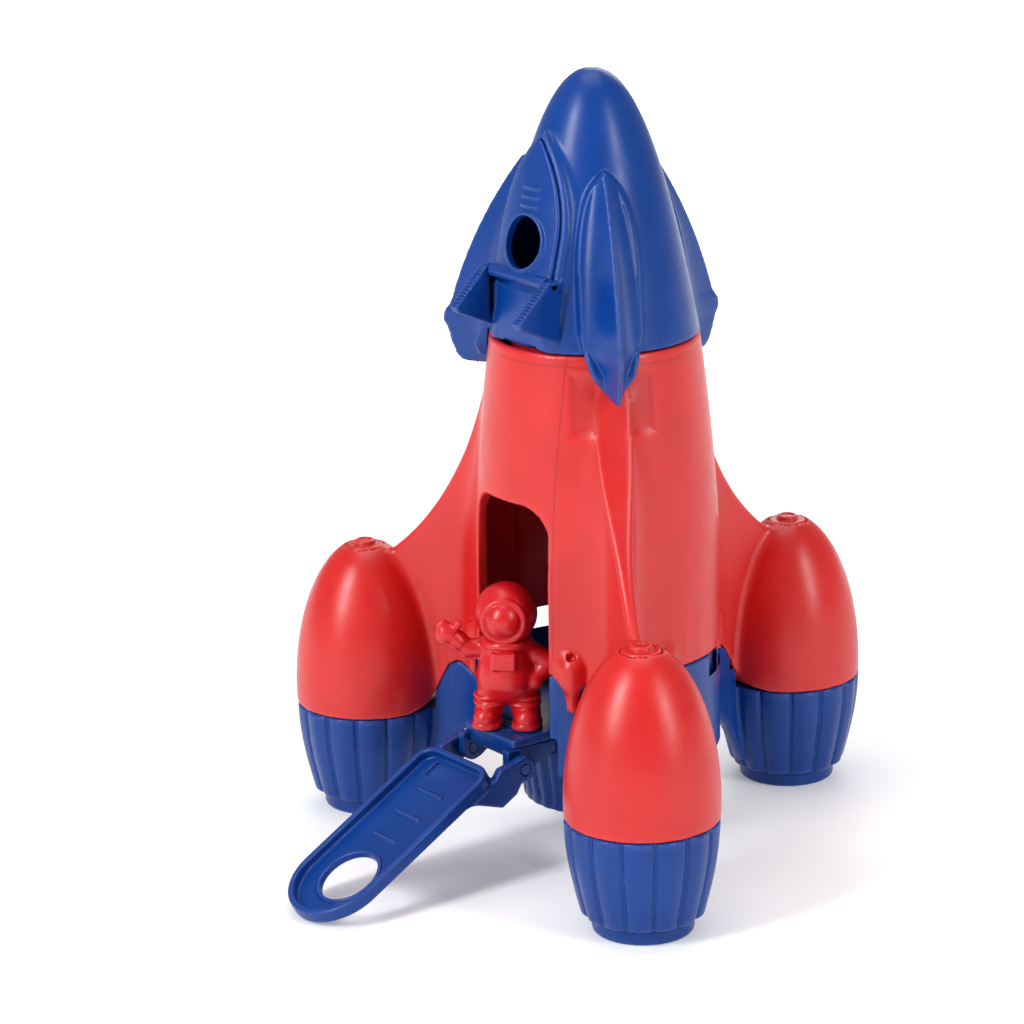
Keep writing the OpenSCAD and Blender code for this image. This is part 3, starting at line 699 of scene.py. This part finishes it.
def deck(x, y, z):
    plate = np.hypot(x, y) - RING_IN_R + 0.05
    tongue = brick2(x, y + TONGUE_OUT / 2, TONGUE_HALF_W, TONGUE_OUT / 2, 1.5)
    skirt_low = (-SKIRT_HALF_W, -TONGUE_OUT, DECK_LOW_Z - SKIRT_H)
    skirt_high = (SKIRT_HALF_W, -TONGUE_OUT + SKIRT_T, DECK_LOW_Z + 1)
    skirt = brick(x, y, z, skirt_low, skirt_high, 0.5)
    flat = np.minimum(plate, tongue)
    for s in (-1, 1):
        notch = brick2(x - s * (TONGUE_HALF_W + 4.7), y + 31 + 10, 4.7, 10, 1.0)
        flat = cut(flat, notch, 0.6)
    slab = soft_max(flat, np.abs(z - DECK_Z + DECK_T / 2) - DECK_T / 2, 0.7)
    groove = np.minimum(np.abs(y + 35) - 0.35, np.abs(y + 41) - 0.35)
    groove = np.maximum(np.maximum(groove, np.abs(x) - TONGUE_HALF_W + 3), DECK_Z - 0.5 - z)
    return np.minimum(cut(slab, groove, 0.3), skirt)


def bracket(x, y, z):
    out, up = -y, z
    along = np.abs(np.abs(x) - TONGUE_HALF_W + 1.6) - 1.6
    knuckle = np.hypot(out - PIN_OUT, up - PIN_Z) - 4.4
    stem = brick2(out - PIN_OUT, up - (DECK_LOW_Z + PIN_Z) / 2, 4.4, (DECK_LOW_Z - PIN_Z) / 2, 0.2)
    web = outline(
        out,
        up,
        [(30, DECK_LOW_Z), (30, PIN_Z + 2), (PIN_OUT - 3, PIN_Z - 3), (PIN_OUT, DECK_LOW_Z)],
    )
    shape = soft_min(np.minimum(knuckle, stem), web, 2.0)
    body = soft_max(shape, along, 0.6)
    body = cut(body, np.hypot(out - PIN_OUT, up - PIN_Z) - PIN_R - 0.1, 0.3)
    return soft_max(body, z - DECK_LOW_Z + 0.03, 0.2)


deck_piece = surface_of("deck_plate", deck, box_mm("deck")[0], box_mm("deck")[1], 0.8, BLUE, 0.4)
bracket_piece = surface_of(
    "hinge_brackets", bracket, box_mm("ramp_brackets")[0], box_mm("ramp_brackets")[1], 0.5, BLUE, 0.4
)
for piece, node in ((deck_piece, "deck"), (bracket_piece, "ramp_brackets")):
    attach(piece, "root")
    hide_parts(node)


# ------------------------------------------------------------------ ramp

RAMP_TILT = math.radians(next(j for j in frame["joints"] if j["name"] == "ramp_hinge")["range_deg"][1] - 90)
LEAF_HALF_W = box_mm("ramp_leaf")[1][0]
LEAF_START, LEAF_END = 10.6, 87.9
LEAF_LOW, LEAF_TOP = 5.0, 10.0
LEAF_PLATE = 1.6
LEAF_RIM = 2.2
FINGER_X, FINGER_AT, FINGER_R = 2.0, 67.5, 10.2
ARM_T = 3.4
ARM_LOW = -5.2
WEB_START = 7.2


def on_ramp(x, y, z):
    """Coordinates in the ramp's own frame: across it, along it from the pins, and up from the pins' plane."""
    out, up = -(y + PIN_OUT), z - PIN_Z
    c, s = math.cos(RAMP_TILT), math.sin(RAMP_TILT)
    return x, out * c - up * s, out * s + up * c


def leaf_plan(x, along, inset):
    half = (LEAF_END - LEAF_START) / 2
    mid = (LEAF_END + LEAF_START) / 2
    corner = np.where(along > mid, LEAF_HALF_W, 7.0) - inset
    return brick2(x, along - mid, LEAF_HALF_W - inset, half - inset, corner)


def leaf(x, y, z):
    x, along, up = on_ramp(x, y, z)
    thick = np.abs(up - (LEAF_LOW + LEAF_TOP) / 2) - (LEAF_TOP - LEAF_LOW) / 2
    body = soft_max(leaf_plan(x, along, 0), thick, 1.1)
    tray = soft_max(leaf_plan(x, along, LEAF_RIM), LEAF_LOW + LEAF_PLATE - up, 1.0)
    body = cut(body, tray, 0.9)
    floor = LEAF_LOW + LEAF_PLATE
    for at in (27, 38, 49):
        rib = capsule(x, along, up, (-6, at, floor + 0.15), (6, at, floor + 0.15), 0.8, 0.8)
        body = soft_min(body, rib, 0.4)
    finger = np.hypot(x - FINGER_X, along - FINGER_AT) - FINGER_R
    ring = np.hypot(finger - 0.9, np.maximum(up - floor, 0)) - 0.9
    body = soft_min(body, np.maximum(ring, LEAF_LOW - up), 0.5)
    body = cut(body, finger, 0.7)
    slot = np.maximum(brick2(x + 9.5, along - 17.5, 0.9, 3.2, 0.8), LEAF_LOW + 0.5 - up)
    return cut(body, slot, 0.4)


def arm(x, y, z):
    x, along, up = on_ramp(x, y, z)
    across = np.abs(np.abs(x) - LEAF_HALF_W + 0.2 + ARM_T / 2) - ARM_T / 2
    shape = outline(
        along,
        up,
        [(-2.2, 3.8), (3.2, -3), (7, ARM_LOW), (14, ARM_LOW), (21, LEAF_LOW - 2.6), (25, LEAF_LOW + 0.4)]
        + [(LEAF_START + 0.6, LEAF_LOW + 0.4), (8, LEAF_LOW + 2), (3, LEAF_LOW + 0.5)],
    )
    shape = soft_min(shape, np.hypot(along, up) - 4.4, 1.5)
    web = outline(
        along,
        up,
        [(WEB_START, ARM_LOW), (WEB_START, ARM_LOW + 1.6), (13, ARM_LOW + 1.6), (17.5, LEAF_LOW + 0.3)]
        + [(19.5, LEAF_LOW + 0.3), (14, ARM_LOW)],
    )
    web = soft_max(web, np.abs(x) - LEAF_HALF_W + ARM_T, 0.4)
    return cut(soft_min(soft_max(shape, across, 0.9), web, 0.8), np.hypot(along, up) - PIN_R - 0.25, 0.4)


def ramp_moulding(x, y, z):
    return soft_min(leaf(x, y, z), arm(x, y, z), 1.0)


ramp_low = np.minimum(box_mm("ramp_leaf")[0], box_mm("ramp_arms")[0])
ramp_high = np.maximum(box_mm("ramp_leaf")[1], box_mm("ramp_arms")[1])
ramp = surface_of("ramp_moulding", ramp_moulding, ramp_low, ramp_high, 0.55, BLUE, 0.35)
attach(ramp, "ramp")
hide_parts("ramp_leaf", "ramp_arms")


# ------------------------------------------------------------------ nose capsule

NOSE_TOP_Z = box_mm("nose_shell")[1][2]
TIP = 0.02  # how far below its very tip the nose is treated as flat
RIM_Z = box_mm("nose_shell")[0][2]
HATCH_PIN = joint_mm("hatch_hinge")
HATCH_OUT, HATCH_Z = -HATCH_PIN[1], HATCH_PIN[2]
HATCH_LEAN = math.radians(13.5)
HATCH_HALF_W = 14.8
HATCH_SIDE_H = 13.0
HATCH_LEN = 46.0
HATCH_GAP = 0.5
HATCH_BOW = 90.0  # the hatch and its frame fall away as x * x / HATCH_BOW to either side
FRAME_W = 2.4
APRON_OUT = 32.0
WINDOW_R, WINDOW_AT = 8.7, 11.5
LEG_LOW_Z, LEG_TOP_Z = 164.4, 237.3
LEG_KEEL = np.concatenate(
    [
        bend((20.4, 242.5), (42, 217.5), (52, 185)),
        [(54.5, 181.5), (55, 178.5), (53.5, 176), (52, 171), (50.6, 167.5), (48.5, 165), (45, LEG_LOW_Z)],
    ]
)[::-1]
LEG_HALF = np.concatenate(
    [
        [(0, 237.5), (2.4, 235.6)],
        bend((4.4, 233), (9.5, 225), (10.3, 209)),
        bend((11, 200), (11.6, 184), (7, 172.5)),
        [(4.2, 168.6), (0, LEG_LOW_Z)],
    ]
)[::-1]
LEG_ROOT_T = 10.4
LEG_CREST_W = 2.6


def nose_radius(z):
    t = np.sqrt(np.clip((NOSE_TOP_Z - z) / (NOSE_TOP_Z - RIM_Z), 1e-6, 1.3))
    return HULL_TOP_R * t**0.9


def nose_outside(x, y, z):
    rho = np.hypot(x, y)
    zc = np.minimum(z, NOSE_TOP_Z - TIP)
    slope = (nose_radius(zc - TIP) - nose_radius(zc)) / TIP
    d = (rho - nose_radius(zc)) / np.sqrt(1 + slope**2)
    return np.where(z > NOSE_TOP_Z - TIP, np.hypot(np.maximum(d, 0), z - NOSE_TOP_Z + TIP), d)


def on_hatch(x, y, z):
    """Coordinates in the closed hatch's frame: across it, out from it and up from its pin."""
    back, up = y + HATCH_OUT, z - HATCH_Z
    c, s = math.cos(HATCH_LEAN), math.sin(HATCH_LEAN)
    return x, -(back * c - up * s), back * s + up * c


def arch(x, up, grow, low):
    w = HATCH_HALF_W + grow
    rise = HATCH_LEN + grow - HATCH_SIDE_H
    r = (w * w + rise * rise) / (2 * w)
    point = np.maximum(np.hypot(x - (r - w), up - HATCH_SIDE_H), np.hypot(x + (r - w), up - HATCH_SIDE_H)) - r
    sides = np.maximum(np.abs(x) - w, low - up)
    return np.where(up > HATCH_SIDE_H, point, sides)


def leg(u, v, z):
    """A leaf-shaped leg: a rounded keel, hollowed flanks and a low rounded lip along its edge."""
    keel = np.interp(z, LEG_KEEL[:, 1], LEG_KEEL[:, 0])
    half = np.minimum(np.interp(z, LEG_HALF[:, 1], LEG_HALF[:, 0]), LEG_ROOT_T)
    base_r = np.where(z > RIM_Z, nose_radius(np.maximum(z, RIM_Z)), HULL_TOP_R)
    height = np.maximum(keel - base_r, 0)
    soft_v = np.sqrt(v * v + 1.0)
    share = soft_v / np.sqrt(np.maximum(half, 0.3) ** 2 + 1.0)
    crest = height * np.exp(-np.maximum(soft_v - 1, 0) / np.maximum(0.34 * half, LEG_CREST_W))
    lip = 0.8 * np.exp(-(((share - 0.84) / 0.2) ** 2)) + 0.5
    low = np.clip((RIM_Z + 3 - z) / 9, 0, 1)
    flank = np.minimum(lip, height + 0.6) * (1 - low) + height * 0.35 * low
    top = base_r - soft_min(-crest, -flank, 0.8)
    return soft_max((u - top) * 0.55, (np.abs(v) - half) * 0.8, 1.0)


def nose_moulding(x, y, z):
    u, v = beside(x, y)
    rho = np.hypot(x, y)
    outside = nose_outside(x, y, z)
    shell = soft_max(outside, RIM_Z - z, 0.8)
    horn = leg(u, v, z)
    horn = np.maximum(horn, np.maximum(LEG_LOW_Z - z, z - LEG_TOP_Z))
    hull = rho - hull_radius(np.minimum(z, HULL_TOP_Z)) - 0.6
    horn = np.where(z < RIM_Z + 0.3, soft_max(horn, -hull, 0.8), np.maximum(horn, nose_radius(z) - 4 - u))
    hx, hout, hup = on_hatch(x, y, z)
    body = soft_min(shell, horn, 1.2)
    w = HATCH_HALF_W + FRAME_W
    bow = x * x / HATCH_BOW
    border = soft_max(arch(hx, hup, FRAME_W, 0), np.abs(hout + bow + 2.6) - 3.2, 1.4)
    body = soft_min(body, border, 2.2)
    hollow = np.maximum(outside + WALL, RIM_Z - 1 - z)
    opening = np.maximum(arch(hx, hup, 0, -1), -(hout + 8))
    body = cut(body, hollow, 0.4)
    body = cut(body, opening, 0.7)
    chop = np.maximum(np.maximum(np.abs(x) - w, y + APRON_OUT), z - HATCH_Z + 4)
    body = cut(body, chop, 0.5)
    apron = brick(x, y - bow, z, (-w, -APRON_OUT, RIM_Z), (w, -APRON_OUT + WALL, HATCH_Z - 3.9), 0.8)
    body = soft_min(body, apron, 1.0)
    for s in (-1, 1):
        ear_x = s * (HATCH_HALF_W + FRAME_W / 2)
        ear = brick(x, y, z, (ear_x - 1.2, -33.5, 184), (ear_x + 1.2, -24, HATCH_Z + 1.2), 0.6)
        body = soft_min(body, ear, 0.8)
    return body


legs_low = np.min([box_mm("leg_" + side)[0] for side in ("right", "left", "back")], 0)
legs_high = np.max([box_mm("leg_" + side)[1] for side in ("right", "left", "back")], 0)
nose = surface_of(
    "nose_moulding",
    nose_moulding,
    (legs_low[0], legs_low[1] - 5, legs_low[2]),
    (legs_high[0], legs_high[1], NOSE_TOP_Z),
    0.8,
    BLUE,
    0.4,
)
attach(nose, "nose")
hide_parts("nose_shell", "leg_right", "leg_left", "leg_back", "hatch_frame")


CHEEK_RIBS = 13
CHEEK_LOW_Z = 183.5


def cheek(x, y, z):
    out = -y
    across = np.abs(np.abs(x) - HATCH_HALF_W - 1.9) - 1.9
    top, low = np.array([HATCH_OUT + 2.6, HATCH_Z + 1.4]), np.array([46.5, 191.5])
    back = HATCH_OUT - 2.2
    shape = outline(
        out,
        z,
        [(back, top[1]), top, low, low - (1, 2), (APRON_OUT, CHEEK_LOW_Z), (back, CHEEK_LOW_Z)],
    )
    run = low - top
    length = float(np.hypot(*run))
    way = ((out - top[0]) * run[0] + (z - top[1]) * run[1]) / length
    tooth = np.abs((way / length * CHEEK_RIBS) % 1 - 0.5) * length / CHEEK_RIBS
    off = ((out - top[0]) * run[1] - (z - top[1]) * run[0]) / length
    notch = np.maximum(np.abs(off) - 0.4, tooth - 0.3)
    notch = np.maximum(notch, np.maximum(0.8 - way, way - length + 0.8))
    body = soft_max(shape, across, 0.7)
    return cut(body, notch, 0.3)


cheeks_low, cheeks_high = box_mm("hatch_cheeks")
cheeks = surface_of("hatch_cheeks_ribbed", cheek, cheeks_low, cheeks_high, 0.4, BLUE, 0.4)
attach(cheeks, "nose")
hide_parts("hatch_cheeks")


def hatch(x, y, z):
    hx, hout, hup = on_hatch(x, y, z)
    face = hout + hx * hx / HATCH_BOW
    plate = soft_max(arch(hx, hup, -HATCH_GAP, 0.6), np.abs(face) - 1.1, 0.7)
    knuckle = np.maximum(np.hypot(hout, hup) - 2.0, np.abs(hx) - HATCH_HALF_W + HATCH_GAP)
    body = soft_min(plate, knuckle, 0.8)
    q = np.hypot(hx, hup - WINDOW_AT)
    rim = np.hypot(q - WINDOW_R - 0.5, face - 1.1) - 0.8
    body = soft_min(body, rim, 0.5)
    for up in (23.5, 26.5, 29.5):
        rib = capsule(hx, face, hup, (-3.8, 1.0, up), (3.8, 1.0, up), 0.6, 0.6)
        body = soft_min(body, rib, 0.3)
    return cut(body, q - WINDOW_R, 0.5)


hatch_low = np.min([box_mm(n)[0] for n in ("hatch_panel", "hatch_knuckle", "window_rim")], 0)
hatch_high = np.max([box_mm(n)[1] for n in ("hatch_panel", "hatch_knuckle", "window_rim")], 0)
hatch_piece = surface_of("hatch_moulding", hatch, hatch_low, hatch_high, 0.5, BLUE, 0.4)
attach(hatch_piece, "hatch")
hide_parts("hatch_panel", "hatch_knuckle", "window_rim")


# ------------------------------------------------------------------ crew

CREW_LOW, CREW_HIGH = box_mm("crew_figure")
CREW_AT = (-1.5, -38.5, CREW_LOW[2])
CREW_TURN = math.radians(45)
HEAD_R = 10.6
HEAD_Z = 39.4


def on_crew(x, y, z):
    """Coordinates in the figure's own frame, which faces -Y before it is turned."""
    dx, dy = x - CREW_AT[0], y - CREW_AT[1]
    c, s = math.cos(CREW_TURN), math.sin(CREW_TURN)
    return dx * c + dy * s, -dx * s + dy * c, z - CREW_AT[2]


def crew(x, y, z):
    x, y, z = on_crew(x, y, z)
    ax = np.abs(x)
    helmet = ball(x, y, z, (0, 0, HEAD_Z), HEAD_R)
    face = ball(x, y, z, (0, -5.2, HEAD_Z - 0.4), 6.9)
    ring = np.hypot(np.hypot(x, z - HEAD_Z + 0.6) - 6.9, y + 7.7) - 1.05
    helmet = cut(helmet, soft_max(np.hypot(x, z - HEAD_Z + 0.6) - 6.6, y + 7.8, 0.4), 0.5)
    helmet = soft_min(soft_min(helmet, ring, 0.5), np.maximum(face, y + 6.4), 0.4)
    collar = np.hypot(np.hypot(x, y) - 7.4, z - 29.6) - 1.5
    chest = capsule(x, y, z, (0, 0, 17.5), (0, 0, 26), 9.2, 8.0)
    belly = ball(x, y * 1.1, z, (0, -0.8, 18), 9.6)
    body = soft_min(soft_min(chest, belly, 3), helmet, 0.8)
    body = soft_min(body, collar, 0.8)
    pack = brick(x, y, z, (-4.2, -9.9, 21.5), (4.2, -6, 28), 1.0)
    body = soft_min(body, pack, 0.6)
    for at in (15.2, 17.6):
        belt = np.hypot(np.hypot(x, y * 1.05) - 9.3, z - at) - 0.8
        body = soft_min(body, belt, 0.5)
    leg_body = capsule(ax, y, z, (4.6, 0, 14), (6.2, -0.6, 6), 5.4, 4.9)
    for at in (8.0, 10.4):
        crease = np.hypot(np.hypot(ax - 5.8, y + 0.4) - 5.0, z - at) - 0.75
        leg_body = soft_min(leg_body, crease, 0.6)
    boot = capsule(ax, y, z, (6.6, 0.6, 3.6), (7.0, -4.6, 3.2), 4.6, 4.2)
    sole = soft_max(brick2(ax - 6.8, y + 2.0, 4.9, 7.0, 4.6), np.abs(z - 1.0) - 1.0, 0.4)
    leg_body = soft_min(soft_min(leg_body, boot, 1.0), sole, 0.6)
    body = soft_min(body, leg_body, 1.6)
    raised = soft_min(
        capsule(x, y, z, (-6.5, 0, 26.8), (-13.2, -0.8, 26.6), 3.8, 3.4),
        capsule(x, y, z, (-13.2, -0.8, 26.6), (-17.6, -1.8, 30.6), 3.4, 2.9),
        1.0,
    )
    cuff = capsule(x, y, z, (-16.2, -1.5, 29.3), (-16.9, -1.6, 30.0), 3.6, 3.6)
    palm = ball(x, (y + 2.2) * 1.2, z, (-19.8, 0, 32.2), 4.1)
    thumb = capsule(x, y, z, (-18.0, -2.8, 33.2), (-16.0, -3.2, 36.0), 1.7, 1.4)
    fingers = capsule(x, y, z, (-20.2, -2.4, 33.2), (-21.4, -2.4, 35.4), 2.5, 2.0)
    hand = soft_min(soft_min(palm, thumb, 0.8), fingers, 0.8)
    raised = soft_min(soft_min(raised, cuff, 0.5), hand, 0.6)
    hip = soft_min(
        capsule(x, y, z, (7.2, 0, 26.5), (14.8, 0.4, 22.0), 3.6, 3.4),
        capsule(x, y, z, (14.8, 0.4, 22.0), (9.8, -2.4, 17.4), 3.4, 3.0),
        1.0,
    )
    hip = soft_min(hip, ball(x, y, z, (9.4, -2.8, 16.8), 3.4), 0.8)
    body = soft_min(soft_min(body, raised, 1.4), hip, 1.4)
    return soft_max(body, -z, 0.5)


crew_piece = surface_of("crew_moulding", crew, CREW_LOW, CREW_HIGH, 0.5, CREW, 0.5)
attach(crew_piece, "crew")
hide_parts("crew_figure")


# ------------------------------------------------------------------ CAD nodes that stay

for name, node in frame["nodes"].items():
    node.data.materials.clear()
    node.data.materials.append(RED if name == "neck_plate" or "pod_cap" in name else BLUE)


# ------------------------------------------------------------------ studio


WORLD_LIGHT = 0.36
CAMERA_AT = (0.9332, -0.7552, 0.4793)
CAMERA_DOWN = math.radians(16.85)
CAMERA_HEADING = math.atan2(0.7922, 0.6103)
ROLL = -0.019


def studio():
    floor = bpy.data.meshes.new("floor")
    s = 6.0
    floor.from_pydata([(-s, -s, 0), (s, -s, 0), (s, s, 0), (-s, s, 0)], [], [(0, 1, 2, 3)])
    floor = bpy.data.objects.new("floor", floor)
    bpy.context.scene.collection.objects.link(floor)
    pale = bpy.data.materials.new("pale_floor")
    pale.use_nodes = True
    tree = pale.node_tree
    shader = tree.nodes["Principled BSDF"]
    shader.inputs["Base Color"].default_value = (0.84, 0.84, 0.85, 1)
    shader.inputs["Roughness"].default_value = 0.7
    place = tree.nodes.new("ShaderNodeTexCoord").outputs["Object"]
    far = node_of(tree, "ShaderNodeVectorMath", Vector=place)
    far.operation = "LENGTH"
    lift = node_of(tree, "ShaderNodeMapRange", Value=far.outputs["Value"])
    lift.inputs["From Min"].default_value = 0.15
    lift.inputs["From Max"].default_value = 1.6
    lift.inputs["To Min"].default_value = 0.22
    lift.inputs["To Max"].default_value = 0.85
    shader.inputs["Emission Color"].default_value = (1, 1, 1, 1)
    tree.links.new(lift.outputs["Result"], shader.inputs["Emission Strength"])
    floor.data.materials.append(pale)

    world = bpy.data.worlds.new("studio")
    world.use_nodes = True
    tree = world.node_tree
    tree.nodes["Background"].inputs["Color"].default_value = (1, 1, 1, 1)
    rays = tree.nodes.new("ShaderNodeLightPath")
    strength = tree.nodes.new("ShaderNodeMapRange")
    strength.inputs["To Min"].default_value = WORLD_LIGHT
    strength.inputs["To Max"].default_value = 1.0
    tree.links.new(rays.outputs["Is Camera Ray"], strength.inputs["Value"])
    tree.links.new(strength.outputs["Result"], tree.nodes["Background"].inputs["Strength"])
    bpy.context.scene.world = world
    bpy.context.scene.view_settings.view_transform = "Standard"


def area_light(name, place, aim, size, power):
    light = bpy.data.lights.new(name, "AREA")
    light.shape = "RECTANGLE"
    light.size, light.size_y = size
    light.energy = power
    lamp = bpy.data.objects.new(name, light)
    lamp.location = place
    lamp.rotation_euler = (Vector(aim) - Vector(place)).to_track_quat("-Z", "Y").to_euler()
    bpy.context.scene.collection.objects.link(lamp)


def photo_camera():
    """The camera stands off the doorway's right and looks slightly down."""
    camera = bpy.data.cameras.new("camera")
    camera.lens = 129.9
    camera.sensor_width = 36
    camera.clip_end = 50
    place = bpy.data.objects.new("camera", camera)
    place.location = CAMERA_AT
    place.rotation_euler = Euler((math.radians(90) - CAMERA_DOWN, 0, CAMERA_HEADING), "XYZ")
    place.rotation_euler.rotate_axis("Z", ROLL)
    bpy.context.scene.collection.objects.link(place)
    bpy.context.scene.camera = place


studio()
photo_camera()
area_light("key", (0.0, -1.4, 1.0), (0, 0, 0.12), (0.3, 1.1), 22)
area_light("side", (1.4, 0.25, 0.8), (0, 0, 0.12), (0.2, 1.0), 11)
area_light("top", (-0.2, 0.1, 1.6), (0, 0, 0.1), (1.0, 1.0), 8)
area_light("fill", (-0.9, 1.1, 0.9), (0, 0, 0.12), (0.9, 0.9), 6)
